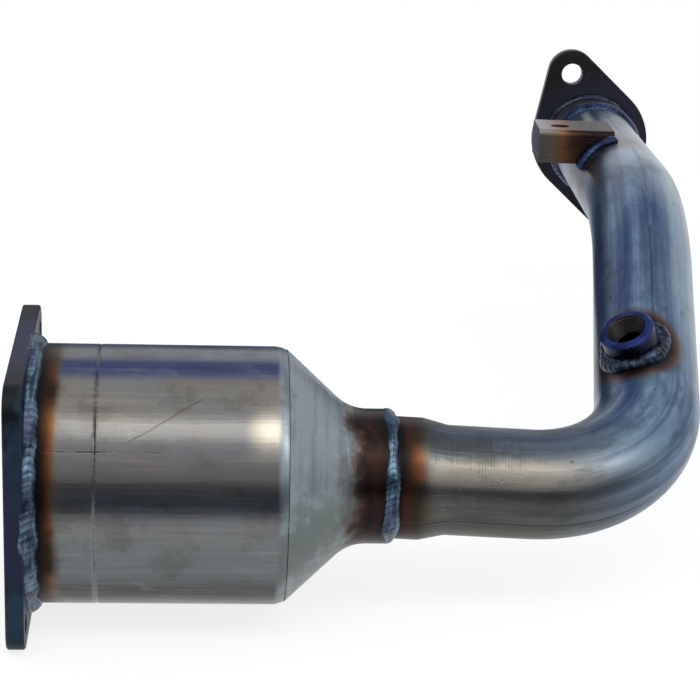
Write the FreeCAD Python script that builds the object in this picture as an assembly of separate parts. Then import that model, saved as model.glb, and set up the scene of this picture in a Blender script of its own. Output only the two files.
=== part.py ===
"""Close-coupled catalytic converter with its downpipe, all dimensions in millimetres.

The part hangs from its square inlet flange.  The origin is the centre of that
flange's mating face.  +X runs along the converter body, +Z is up, and the
flange's four sides lie along Y and Z.  The gas enters at X = 0, passes the
ceramic brick, and leaves through a bent pipe with a two-bolt flange.
"""
import FreeCAD, Part
import math
import os

Vector = FreeCAD.Vector

# ---------------------------------------------------------------- dimensions
# Converter shell: one sheet, spun down at the outlet end into a neck.
CAN_D = 116.0
CAN_WALL = 1.5
SEAT_DEPTH = 5.0
SEAT_GAP = 0.1
CONE_ANGLE = 42.6
CONE_CORNER_X = 119.5
SHOULDER_R = 12.0
THROAT_R = 20.0
CONE_WALL = 1.9
NECK_D = 61.0
NECK_WALL = 2.3
NECK_END_X = 166.0
ROLLED_LINE_X = 37.5
SPIN_LINE_X = 121.5
MARK_WIDTH = 1.2
MARK_DEPTH = 0.35

# Inlet flange: a square plate with rounded corners and four stud holes.  Its
# side, its gas opening and its holes follow the can.
INLET_MARGIN = 3.5
INLET_SIDE = CAN_D + 2.0 * INLET_MARGIN
INLET_CORNER_R = 12.0
INLET_THICK = 8.0
INLET_LEDGE = 4.0
INLET_BORE_D = CAN_D - 2.0 * INLET_LEDGE
INLET_HOLE_EDGE = 11.5
INLET_HOLE_PITCH = INLET_SIDE - 2.0 * INLET_HOLE_EDGE
INLET_HOLE_D = 9.0
EDGE_BREAK = 0.6

# Ceramic brick and the mat that holds it in the shell.
MAT_THICK = 3.65
BRICK_D = CAN_D - 2.0 * CAN_WALL - 2.0 * MAT_THICK
BRICK_LENGTH = 90.0
BRICK_START_X = 16.0
BRICK_EDGE = 0.8
MAT_INSET = 4.0

# Exhaust pipe: the corner points and bend radii of its centre line.
PIPE_D = 50.0
PIPE_WALL = 1.5
PIPE_START_X = 151.0
PIPE_START_Y = 0.15
PIPE_START_Z = 0.25
ELBOW_X = 286.8
ELBOW_Y = -2.9
ELBOW_Z = -4.4
SECOND_X = 310.6
SECOND_Y = 185.2
SECOND_Z = 71.2
PIPE_END_X = 323.2
PIPE_END_Y = 423.1
PIPE_END_Z = 48.0
PIPE_START = Vector(PIPE_START_X, PIPE_START_Y, PIPE_START_Z)
ELBOW_POINT = Vector(ELBOW_X, ELBOW_Y, ELBOW_Z)
SECOND_POINT = Vector(SECOND_X, SECOND_Y, SECOND_Z)
PIPE_END = Vector(PIPE_END_X, PIPE_END_Y, PIPE_END_Z)
ELBOW_R = 59.5
SECOND_R = 199.0
SLIP_GAP = 0.45
SWAGE_LENGTH = 31.0
SWAGE_TAPER = 11.5

# Oxygen sensor boss, M18 x 1.5, just after the elbow.
BOSS_D = 26.0
BOSS_TOP = 35.0
BOSS_THREAD_MINOR_D = 16.4
BOSS_MOUTH_D = 18.8
BOSS_EDGE = 1.2
BOSS_AFTER_ELBOW = 18.9
BOSS_LEAN = 21.0

# Outlet: a sleeve on the pipe's end, carried in a two-bolt flange.
SLEEVE_WALL = 1.85
SLEEVE_GAP = 0.15
SLEEVE_REACH = 30.0
PIPE_END_BACK = 2.0
OUTLET_THICK = 9.0
OUTLET_RECESS = 1.5
OUTLET_MID_R = 35.8
OUTLET_LOBE_R = 14.6
OUTLET_PITCH = 86.2
OUTLET_HOLE_D = 13.0
OUTLET_LEAN = 18.0

# Stay bracket: a block coped to the pipe's flank.
BRACKET_FROM_FLANGE = 118.0
BRACKET_DEPTH = 38.0
BRACKET_REACH = 47.0
BRACKET_INNER = 5.0
BRACKET_BOTTOM = 11.0
BRACKET_TOP = 29.5
BRACKET_FRONT_R = 3.2
BRACKET_HOLE_D = 10.5
BRACKET_HOLE_REACH = 34.0
BRACKET_HOLE_BACK = 22.0

# Weld beads.
INLET_LEG_RADIAL = 3.0
INLET_LEG_AXIAL = 4.5
INLET_BULGE = 0.6
INLET_LUMP_ANGLES = (38.0, 142.0, 219.0, 311.0)
INLET_LUMP_SPAN = 14.0
INLET_LUMP_GROW = 0.9
NECK_BEAD_BACK = 1.6
NECK_BEAD_FORWARD = 6.0
NECK_BEAD_HEIGHT = 1.0
BOSS_BEAD_WIDTH = 3.4
BOSS_BEAD_HEIGHT = 2.8
SLEEVE_BEAD_LENGTH = 5.0
SLEEVE_BEAD_BACK = 1.2
SLEEVE_BEAD_HEIGHT = 0.9
OUTLET_LEG = 3.0
BRACKET_BEAD_R = 4.2
BRACKET_BEAD_START = 104.0
BRACKET_BEAD_END = 155.0

OUT = "parts"
X_AXIS = Vector(1, 0, 0)
Z_AXIS = Vector(0, 0, 1)
ORIGIN = Vector(0, 0, 0)


# ------------------------------------------------------------------- helpers
def save(shape, name):
    """Write one piece to its own STEP file."""
    shape.exportStep(os.path.join(OUT, name + ".step"))


def unit(vector):
    """Return the vector with length one."""
    return Vector(vector).multiply(1.0 / vector.Length)


def frame_on(origin, forward, up):
    """Return a placement whose X axis is forward and whose Z axis is nearest to up."""
    x = unit(forward)
    y = unit(up.cross(x))
    z = x.cross(y)
    turn = FreeCAD.Rotation(x, y, z, "XYZ")
    return FreeCAD.Placement(origin, turn)


def placed(shape, placement):
    """Return a copy of the shape, moved from its own frame into the part."""
    copy = shape.copy()
    copy.Placement = placement.multiply(copy.Placement)
    return copy


def turned(points):
    """Turn a closed profile of (x, radius) points about X into a solid."""
    loop = [Vector(x, 0, r) for x, r in points]
    loop.append(loop[0])
    face = Part.Face(Part.makePolygon(loop))
    return face.revolve(ORIGIN, X_AXIS, 360)


def turned_wire(edges, angle=360.0):
    """Turn a closed loop of edges that lie in the XZ plane about X into a solid."""
    face = Part.Face(Part.Wire(edges))
    return face.revolve(ORIGIN, X_AXIS, angle)


def line(a, b):
    """Return the straight edge between two (x, radius) points."""
    return Part.makeLine(Vector(a[0], 0, a[1]), Vector(b[0], 0, b[1]))


def arc(a, mid, b):
    """Return the circular edge through three (x, radius) points."""
    curve = Part.Arc(Vector(a[0], 0, a[1]), Vector(mid[0], 0, mid[1]), Vector(b[0], 0, b[1]))
    return curve.toShape()


def rod(radius, start, end):
    """Return a solid round bar about X between two stations."""
    return Part.makeCylinder(radius, end - start, Vector(start, 0, 0), X_AXIS)


def rounded_square(side, corner, thick):
    """Return a square plate with rounded corners, standing on X = 0."""
    half = side / 2.0
    plate = Part.makeBox(thick, side, side, Vector(0, -half, -half))
    upright = [e for e in plate.Edges if abs(e.tangentAt(e.FirstParameter).x) > 0.9]
    return plate.makeFillet(corner, upright)


def broken_rim(plate, thick, size):
    """Chamfer the outer rim of a plate on both of its faces."""
    rim = []
    for edge in plate.Edges:
        box = edge.BoundBox
        flat = box.XLength < 1e-6
        on_face = abs(box.XMin) < 1e-6 or abs(box.XMin - thick) < 1e-6
        if flat and on_face:
            rim.append(edge)
    return plate.makeChamfer(size, rim)


# --------------------------------------------------------------- inlet flange
def inlet_flange():
    """Square plate with the gas opening, the shell's seat and four stud holes."""
    plate = rounded_square(INLET_SIDE, INLET_CORNER_R, INLET_THICK)
    plate = broken_rim(plate, INLET_THICK, EDGE_BREAK)
    plate = plate.cut(rod(INLET_BORE_D / 2.0, -1.0, INLET_THICK + 1.0))
    seat_r = CAN_D / 2.0 + SEAT_GAP
    plate = plate.cut(rod(seat_r, INLET_THICK - SEAT_DEPTH, INLET_THICK + 1.0))
    half = INLET_HOLE_PITCH / 2.0
    for y in (-half, half):
        for z in (-half, half):
            hole = rod(INLET_HOLE_D / 2.0, -1.0, INLET_THICK + 1.0)
            hole.translate(Vector(0, y, z))
            plate = plate.cut(hole)
    return plate


def inlet_bead_section(grow):
    """Return the edges of the fillet bead's section, grown by an amount."""
    r = CAN_D / 2.0
    foot = (INLET_THICK, r)
    top = (INLET_THICK, r + INLET_LEG_RADIAL + grow)
    toe = (INLET_THICK + INLET_LEG_AXIAL + grow, r)
    bulge = INLET_BULGE + 0.5 * grow
    mid = ((top[0] + toe[0]) / 2.0 + bulge, (top[1] + toe[1]) / 2.0 + bulge)
    return [line(foot, top), arc(top, mid, toe), line(toe, foot)]


def inlet_flange_weld():
    """Fillet bead all round the shell, thicker where the passes start and stop."""
    bead = turned_wire(inlet_bead_section(0.0))
    for angle in INLET_LUMP_ANGLES:
        lump = turned_wire(inlet_bead_section(INLET_LUMP_GROW), INLET_LUMP_SPAN)
        lump.rotate(ORIGIN, X_AXIS, angle)
        bead = bead.fuse(lump)
    return bead.removeSplitter()


# ------------------------------------------------------------ converter shell
def shell_curve(r_can, r_neck, corner_x, shoulder_r, throat_r):
    """Return the points of the spun cone's outline from the can to the neck.

    The outline is the can's line, a rounded shoulder, the straight cone, a
    rounded throat and the neck's line.
    """
    lean = math.radians(CONE_ANGLE)
    cos_l = math.cos(lean)
    sin_l = math.sin(lean)
    throat_x = corner_x + (r_can - r_neck) / math.tan(lean)
    t1 = shoulder_r * math.tan(lean / 2.0)
    t2 = throat_r * math.tan(lean / 2.0)
    half = lean / 2.0
    s0 = (corner_x - t1, r_can)
    s1 = (corner_x + t1 * cos_l, r_can - t1 * sin_l)
    sm = (s0[0] + shoulder_r * math.sin(half), r_can - shoulder_r * (1.0 - math.cos(half)))
    t_in = (throat_x - t2 * cos_l, r_neck + t2 * sin_l)
    t_out = (throat_x + t2, r_neck)
    tm = (t_out[0] - throat_r * math.sin(half), r_neck + throat_r * (1.0 - math.cos(half)))
    return s0, sm, s1, t_in, tm, t_out


def marks(edges, a, b, station):
    """Draw the line from a to b with one shallow rolled mark at a station."""
    slope = (b[1] - a[1]) / (b[0] - a[0])
    length = math.hypot(b[0] - a[0], b[1] - a[1])
    normal = ((a[1] - b[1]) / length, (b[0] - a[0]) / length)
    left = (station - MARK_WIDTH / 2.0, a[1] + slope * (station - MARK_WIDTH / 2.0 - a[0]))
    right = (station + MARK_WIDTH / 2.0, a[1] + slope * (station + MARK_WIDTH / 2.0 - a[0]))
    middle = (left[0] + right[0]) / 2.0, (left[1] + right[1]) / 2.0
    deep = (middle[0] - normal[0] * MARK_DEPTH, middle[1] - normal[1] * MARK_DEPTH)
    edges.append(line(a, left))
    edges.append(line(left, deep))
    edges.append(line(deep, right))
    edges.append(line(right, b))


def converter_shell():
    """Can, spun cone and neck in one sheet, thicker where the spinning gathers it."""
    r = CAN_D / 2.0
    start = INLET_THICK - SEAT_DEPTH + SEAT_GAP
    outer = shell_curve(r, NECK_D / 2.0, CONE_CORNER_X, SHOULDER_R, THROAT_R)
    inner_corner = CONE_CORNER_X
    lean = math.radians(CONE_ANGLE)
    inner_corner -= (CONE_WALL - CAN_WALL * math.cos(lean)) / math.sin(lean)
    inner = shell_curve(
        r - CAN_WALL,
        NECK_D / 2.0 - NECK_WALL,
        inner_corner,
        SHOULDER_R - CAN_WALL,
        THROAT_R + NECK_WALL,
    )
    o0, om, o1, o2, on, o3 = outer
    i0, im, i1, i2, jn, i3 = inner
    edges = []
    marks(edges, (start, r), o0, ROLLED_LINE_X)
    edges.append(arc(o0, om, o1))
    marks(edges, o1, o2, SPIN_LINE_X)
    edges.append(arc(o2, on, o3))
    edges.append(line(o3, (NECK_END_X, NECK_D / 2.0)))
    edges.append(line((NECK_END_X, NECK_D / 2.0), (NECK_END_X, NECK_D / 2.0 - NECK_WALL)))
    edges.append(line((NECK_END_X, NECK_D / 2.0 - NECK_WALL), i3))
    edges.append(arc(i3, jn, i2))
    edges.append(line(i2, i1))
    edges.append(arc(i1, im, i0))
    edges.append(line(i0, (start, r - CAN_WALL)))
    edges.append(line((start, r - CAN_WALL), (start, r)))
    return turned_wire(edges)


def catalyst_brick():
    """Ceramic brick with lightly broken rims."""
    r = BRICK_D / 2.0
    a = BRICK_START_X
    b = BRICK_START_X + BRICK_LENGTH
    e = BRICK_EDGE
    return turned([(a, 0), (a, r - e), (a + e, r), (b - e, r), (b, r - e), (b, 0)])


def support_mat():
    """Mat wrapped between the brick and the shell."""
    a = BRICK_START_X + MAT_INSET
    b = BRICK_START_X + BRICK_LENGTH - MAT_INSET
    mat = rod(CAN_D / 2.0 - CAN_WALL, a, b)
    return mat.cut(rod(BRICK_D / 2.0, a - 1.0, b + 1.0))


# --------------------------------------------------------------- exhaust pipe
def centre_line():
    """Return the pipe's straight runs and bends, worked out from its corner points."""
    corners = [PIPE_START, ELBOW_POINT, SECOND_POINT, PIPE_END]
    radii = [0.0, ELBOW_R, SECOND_R, 0.0]
    parts = []
    here = corners[0]
    for i in range(1, len(corners)):
        forward = unit(corners[i].sub(corners[i - 1]))
        if i == len(corners) - 1:
            stop = corners[i].sub(Vector(forward).multiply(PIPE_END_BACK))
            parts.append(("run", here, stop, forward))
            break
        onward = unit(corners[i + 1].sub(corners[i]))
        turn = forward.getAngle(onward)
        setback = radii[i] * math.tan(turn / 2.0)
        stop = corners[i].sub(Vector(forward).multiply(setback))
        parts.append(("run", here, stop, forward))
        axis = unit(forward.cross(onward))
        centre = stop.add(Vector(axis.cross(forward)).multiply(radii[i]))
        parts.append(("bend", stop, centre, axis, math.degrees(turn), forward))
        here = corners[i].add(Vector(onward).multiply(setback))
    return parts


def ring_face(at, forward, outer, inner):
    """Return a flat ring, or a disc when inner is zero, square to a direction."""
    rim = Part.Wire(Part.makeCircle(outer, at, forward))
    if inner <= 0.0:
        return Part.Face(rim)
    hole = Part.Wire(Part.makeCircle(inner, at, forward))
    disc = Part.Face(rim)
    return disc.cut(Part.Face(hole)).Faces[0]


def follow(outer, inner, skip=0.0):
    """Carry a round section along the pipe's centre line, skipping its first length."""
    solids = []
    first = True
    for piece in centre_line():
        if piece[0] == "run":
            start, stop, forward = piece[1], piece[2], piece[3]
            if first:
                start = start.add(Vector(forward).multiply(skip))
                first = False
            face = ring_face(start, forward, outer, inner)
            solids.append(face.extrude(stop.sub(start)))
        else:
            at, centre, axis, turn, forward = piece[1:]
            face = ring_face(at, forward, outer, inner)
            solids.append(face.revolve(centre, axis, turn))
    whole = solids[0]
    for solid in solids[1:]:
        whole = whole.fuse(solid)
    return whole


def swage_radius():
    """Return the outer radius of the pipe's expanded end, set by the neck's bore."""
    return NECK_D / 2.0 - NECK_WALL - SLIP_GAP


def swaged_end(hollow):
    """Return the pipe's expanded end with its taper, about its own first run."""
    forward = unit(ELBOW_POINT.sub(PIPE_START))
    big = swage_radius()
    small = PIPE_D / 2.0
    flat = SWAGE_LENGTH
    end = SWAGE_LENGTH + SWAGE_TAPER
    loop = [(0, 0), (0, big), (flat, big), (end, small), (end, 0)]
    if hollow:
        w = PIPE_WALL
        loop = [(0, big - w), (0, big), (flat, big), (end, small)]
        loop += [(end, small - w), (flat, big - w)]
    return placed(turned(loop), frame_on(PIPE_START, forward, Z_AXIS))


def pipe_shape(hollow):
    """Return the whole pipe, hollow or filled, without its sensor port."""
    inner = PIPE_D / 2.0 - PIPE_WALL if hollow else 0.0
    length = SWAGE_LENGTH + SWAGE_TAPER
    body = follow(PIPE_D / 2.0, inner, length)
    return body.fuse(swaged_end(hollow)).removeSplitter()


def exhaust_pipe(filled_boss_bore):
    """Bent pipe with its port under the oxygen sensor boss."""
    return pipe_shape(True).cut(filled_boss_bore)


def neck_weld(pipe_core):
    """Bead that joins the neck's end to the pipe's expanded end."""
    r = NECK_D / 2.0
    back = (NECK_END_X - NECK_BEAD_BACK, r)
    top = (NECK_END_X + NECK_BEAD_FORWARD * 0.35, r + NECK_BEAD_HEIGHT * 0.6)
    toe = (NECK_END_X + NECK_BEAD_FORWARD, swage_radius() - 0.6)
    root = (NECK_END_X, swage_radius() - 0.6)
    edges = [
        arc(back, top, toe),
        line(toe, root),
        line(root, (NECK_END_X, r)),
        line((NECK_END_X, r), back),
    ]
    return turned_wire(edges).cut(pipe_core)


# -------------------------------------------------------- oxygen sensor boss
def boss_frame():
    """Return the placement whose X axis is the boss axis, from the pipe's axis."""
    forward = unit(SECOND_POINT.sub(ELBOW_POINT))
    bend = centre_line()[1]
    turn = math.radians(bend[4])
    setback = ELBOW_R * math.tan(turn / 2.0)
    at = ELBOW_POINT.add(Vector(forward).multiply(setback + BOSS_AFTER_ELBOW))
    side = unit(forward.cross(Z_AXIS))
    top = side.cross(forward)
    lean = math.radians(BOSS_LEAN)
    out = Vector(top).multiply(math.cos(lean)).sub(Vector(side).multiply(math.sin(lean)))
    return frame_on(at, out, forward)


def boss_bore():
    """Return the threaded bore as a solid that also pierces the pipe's wall."""
    bore = rod(BOSS_THREAD_MINOR_D / 2.0, PIPE_D / 4.0, BOSS_TOP + 1.0)
    return placed(bore, boss_frame())


def sensor_boss(pipe_core):
    """Turned boss, coped to the pipe, with a chamfered thread mouth."""
    r = BOSS_D / 2.0
    low = PIPE_D / 2.0 - 6.0
    e = BOSS_EDGE
    body = turned([(low, 0), (low, r), (BOSS_TOP - e, r), (BOSS_TOP, r - e), (BOSS_TOP, 0)])
    minor = BOSS_THREAD_MINOR_D / 2.0
    mouth = BOSS_MOUTH_D / 2.0
    drop = mouth - minor
    cut = turned(
        [
            (0, 0),
            (0, minor),
            (BOSS_TOP - drop, minor),
            (BOSS_TOP, mouth),
            (BOSS_TOP + 1, mouth),
            (BOSS_TOP + 1, 0),
        ]
    )
    body = placed(body.cut(cut), boss_frame())
    return body.cut(pipe_core)


def sensor_boss_weld(pipe_core):
    """Saddle-shaped bead that follows the pipe round the boss's foot."""
    inner = BOSS_D / 2.0
    wide = inner + BOSS_BEAD_WIDTH
    low = PIPE_D / 2.0 - 11.0
    high = PIPE_D / 2.0 + 12.0
    ring = rod(wide, low, high).cut(rod(inner, low - 1.0, high + 1.0))
    ring = placed(ring, boss_frame())
    cap = follow(PIPE_D / 2.0 + BOSS_BEAD_HEIGHT, 0.0, SWAGE_LENGTH + SWAGE_TAPER)
    saddle = ring.common(cap)
    return saddle.cut(pipe_core)


# -------------------------------------------------------------- outlet flange
def outlet_frame():
    """Return the placement at the pipe's end: X back along the pipe, Z up."""
    forward = unit(PIPE_END.sub(SECOND_POINT))
    return frame_on(PIPE_END, forward.negative(), Z_AXIS)


def outlet_outline():
    """Return the flange's outline: a round middle joined to two bolt lobes."""
    half = OUTLET_PITCH / 2.0
    lean = math.acos((OUTLET_MID_R - OUTLET_LOBE_R) / half)
    mid_a = Vector(0, OUTLET_MID_R * math.sin(lean), OUTLET_MID_R * math.cos(lean))
    lobe_a = Vector(0, OUTLET_LOBE_R * math.sin(lean), half + OUTLET_LOBE_R * math.cos(lean))
    tip = Vector(0, 0, half + OUTLET_LOBE_R)
    side = Vector(0, OUTLET_MID_R, 0)

    def mirror(v, y, z):
        return Vector(0, v.y * y, v.z * z)

    edges = [
        Part.Arc(mirror(mid_a, 1, -1), side, mid_a).toShape(),
        Part.makeLine(mid_a, lobe_a),
        Part.Arc(lobe_a, tip, mirror(lobe_a, -1, 1)).toShape(),
        Part.makeLine(mirror(lobe_a, -1, 1), mirror(mid_a, -1, 1)),
        Part.Arc(mirror(mid_a, -1, 1), mirror(side, -1, 1), mirror(mid_a, -1, -1)).toShape(),
        Part.makeLine(mirror(mid_a, -1, -1), mirror(lobe_a, -1, -1)),
        Part.Arc(mirror(lobe_a, -1, -1), mirror(tip, 1, -1), mirror(lobe_a, 1, -1)).toShape(),
        Part.makeLine(mirror(lobe_a, 1, -1), mirror(mid_a, 1, -1)),
    ]
    return Part.Wire(edges)


def sleeve_radii():
    """Return the sleeve's inner and outer radius, set by the pipe."""
    inner = PIPE_D / 2.0 + SLEEVE_GAP
    return inner, inner + SLEEVE_WALL


def outlet_flange():
    """Two-bolt plate, its long axis leaning from the vertical."""
    plate = Part.Face(outlet_outline()).extrude(Vector(OUTLET_THICK, 0, 0))
    plate = broken_rim(plate, OUTLET_THICK, EDGE_BREAK)
    bore = sleeve_radii()[1] + SEAT_GAP
    plate = plate.cut(rod(bore, -1.0, OUTLET_THICK + 1.0))
    for z in (-OUTLET_PITCH / 2.0, OUTLET_PITCH / 2.0):
        hole = rod(OUTLET_HOLE_D / 2.0, -1.0, OUTLET_THICK + 1.0)
        hole.translate(Vector(0, 0, z))
        plate = plate.cut(hole)
    plate.rotate(ORIGIN, X_AXIS, OUTLET_LEAN)
    plate.translate(Vector(-OUTLET_THICK, 0, 0))
    return placed(plate, outlet_frame())


def outlet_sleeve():
    """Sleeve between the pipe's end and the two-bolt flange."""
    inner, outer = sleeve_radii()
    start = -OUTLET_THICK + OUTLET_RECESS
    tube = rod(outer, start, SLEEVE_REACH).cut(rod(inner, start - 1.0, SLEEVE_REACH + 1.0))
    return placed(tube, outlet_frame())


def outlet_sleeve_weld():
    """Bead between the sleeve's end and the pipe."""
    outer = sleeve_radii()[1]
    pipe = PIPE_D / 2.0
    back = (SLEEVE_REACH - SLEEVE_BEAD_BACK, outer)
    toe = (SLEEVE_REACH + SLEEVE_BEAD_LENGTH, pipe)
    mid_x = SLEEVE_REACH + 0.25 * SLEEVE_BEAD_LENGTH
    mid = (mid_x, outer + SLEEVE_BEAD_HEIGHT)
    edges = [
        arc(back, mid, toe),
        line(toe, (SLEEVE_REACH, pipe)),
        line((SLEEVE_REACH, pipe), (SLEEVE_REACH, outer)),
        line((SLEEVE_REACH, outer), back),
    ]
    return placed(turned_wire(edges), outlet_frame())


def outlet_flange_weld():
    """Fillet bead between the sleeve and the plate."""
    outer = sleeve_radii()[1]
    foot = (0.0, outer)
    top = (0.0, outer + OUTLET_LEG)
    toe = (OUTLET_LEG * 1.1, outer)
    mid = (OUTLET_LEG * 0.7, outer + OUTLET_LEG * 0.62)
    edges = [line(foot, top), arc(top, mid, toe), line(toe, foot)]
    return placed(turned_wire(edges), outlet_frame())


# -------------------------------------------------------------- stay bracket
def bracket_block():
    """Return the bracket before it is coped to the pipe, in the outlet's frame.

    In this frame X runs back along the pipe from the flange and -Y is the
    side on which the bracket stands out.
    """
    start = BRACKET_FROM_FLANGE
    wide = BRACKET_REACH - BRACKET_INNER
    tall = BRACKET_TOP - BRACKET_BOTTOM
    corner = Vector(start, -BRACKET_REACH, BRACKET_BOTTOM)
    block = Part.makeBox(BRACKET_DEPTH, wide, tall, corner)
    front = start + BRACKET_DEPTH
    rolled = []
    for edge in block.Edges:
        box = edge.BoundBox
        on_front = abs(box.XMin - front) < 1e-6
        on_top = abs(box.ZMin - BRACKET_TOP) < 1e-6
        if on_front and on_top and box.YLength > 1.0:
            rolled.append(edge)
    return block.makeFillet(BRACKET_FRONT_R, rolled)


def bracket_hole():
    """Return the stay bolt's hole as a solid, upright in the outlet's frame."""
    station = BRACKET_FROM_FLANGE + BRACKET_HOLE_BACK
    at = Vector(station, -BRACKET_HOLE_REACH, BRACKET_BOTTOM - 1.0)
    tall = BRACKET_TOP - BRACKET_BOTTOM + 2.0
    return Part.makeCylinder(BRACKET_HOLE_D / 2.0, tall, at, Z_AXIS)


def support_bracket(pipe_core):
    """Solid block for the stay bolt, coped to the pipe's flank."""
    block = bracket_block().cut(bracket_hole())
    block = placed(block, outlet_frame())
    return block.cut(pipe_core)


def bracket_weld(station, bracket, pipe_core):
    """Return a round-backed bead where one face of the bracket meets the pipe."""
    centre_r = PIPE_D / 2.0 + 0.6
    start = Vector(station, 0, centre_r)
    ring = Part.Face(Part.Wire(Part.makeCircle(BRACKET_BEAD_R, start, Vector(0, 1, 0))))
    span = BRACKET_BEAD_END - BRACKET_BEAD_START
    bead = ring.revolve(ORIGIN, X_AXIS, span)
    first = BRACKET_BEAD_START - 90.0
    bead.rotate(ORIGIN, X_AXIS, first)
    for angle in (first, first + span):
        turn = math.radians(angle)
        at = Vector(station, -centre_r * math.sin(turn), centre_r * math.cos(turn))
        bead = bead.fuse(Part.makeSphere(BRACKET_BEAD_R, at))
    bead = placed(bead, outlet_frame())
    return bead.cut(bracket).cut(pipe_core).removeSplitter()


# ---------------------------------------------------------------------- build
def main():
    """Build every piece and write it out."""
    os.makedirs(OUT, exist_ok=True)
    pipe_core = pipe_shape(False)
    bracket = support_bracket(pipe_core)
    front = BRACKET_FROM_FLANGE + BRACKET_DEPTH
    save(inlet_flange(), "inlet_flange")
    save(inlet_flange_weld(), "inlet_flange_weld")
    save(converter_shell(), "converter_shell")
    save(catalyst_brick(), "catalyst_brick")
    save(support_mat(), "support_mat")
    save(neck_weld(pipe_core), "neck_weld")
    save(exhaust_pipe(boss_bore()), "exhaust_pipe")
    save(sensor_boss(pipe_core), "sensor_boss")
    save(sensor_boss_weld(pipe_core), "sensor_boss_weld")
    save(outlet_sleeve(), "outlet_sleeve")
    save(outlet_sleeve_weld(), "outlet_sleeve_weld")
    save(outlet_flange(), "outlet_flange")
    save(outlet_flange_weld(), "outlet_flange_weld")
    save(bracket, "support_bracket")
    save(bracket_weld(front, bracket, pipe_core), "bracket_front_weld")
    save(bracket_weld(BRACKET_FROM_FLANGE, bracket, pipe_core), "bracket_rear_weld")


main()
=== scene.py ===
"""Looks of a close-coupled catalytic converter with its bent exhaust pipe.

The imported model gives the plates, the shell, the sleeve, the bracket and the
mat.  This script dresses them and adds the pieces that need finer shapes: the
pipe with its unrolled coordinates, the rippled weld beads, the threaded
sensor boss and the honeycomb brick.  Every size is in metres.
"""

import logging
import math
from dataclasses import dataclass, field
from enum import Enum
from typing import Any, Callable, Dict, List, Optional, Sequence, Tuple, Union

import bpy
from mathutils import Matrix, Vector, noise


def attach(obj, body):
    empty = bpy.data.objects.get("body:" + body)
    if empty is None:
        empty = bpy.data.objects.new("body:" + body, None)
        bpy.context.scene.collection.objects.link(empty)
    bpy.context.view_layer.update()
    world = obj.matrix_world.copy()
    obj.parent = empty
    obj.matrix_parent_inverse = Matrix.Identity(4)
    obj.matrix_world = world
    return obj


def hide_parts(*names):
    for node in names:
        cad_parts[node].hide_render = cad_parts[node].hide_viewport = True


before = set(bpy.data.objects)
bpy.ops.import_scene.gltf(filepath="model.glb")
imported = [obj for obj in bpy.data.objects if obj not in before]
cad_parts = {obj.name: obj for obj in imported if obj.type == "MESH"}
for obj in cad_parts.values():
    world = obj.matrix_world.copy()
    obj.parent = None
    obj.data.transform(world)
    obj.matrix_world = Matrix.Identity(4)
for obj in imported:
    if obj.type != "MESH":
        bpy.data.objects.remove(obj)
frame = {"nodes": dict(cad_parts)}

LOG = logging.getLogger("converter")
BODY = "root"
FULL_TURN = 2.0 * math.pi
X_AXIS = Vector((1.0, 0.0, 0.0))
Z_AXIS = Vector((0.0, 0.0, 1.0))

Colour = Tuple[float, float, float]
Stop = Tuple[float, Colour]


# ---- shader kit
class Wire:
    """A shader socket that can be used in arithmetic."""

    def __init__(self, net: "Net", socket: bpy.types.NodeSocket) -> None:
        """Keep the socket and the node tree that holds it."""
        self.net = net
        self.socket = socket

    def __add__(self, other: "Value") -> "Wire":
        """Add a value."""
        return self.net.math("ADD", self, other)

    def __sub__(self, other: "Value") -> "Wire":
        """Take a value away."""
        return self.net.math("SUBTRACT", self, other)

    def __rsub__(self, other: "Value") -> "Wire":
        """Take this away from a value."""
        return self.net.math("SUBTRACT", other, self)

    def __mul__(self, other: "Value") -> "Wire":
        """Multiply by a value."""
        return self.net.math("MULTIPLY", self, other)

    def __truediv__(self, other: "Value") -> "Wire":
        """Divide by a value."""
        return self.net.math("DIVIDE", self, other)

    __radd__ = __add__
    __rmul__ = __mul__


Value = Union[float, Wire]


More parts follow.
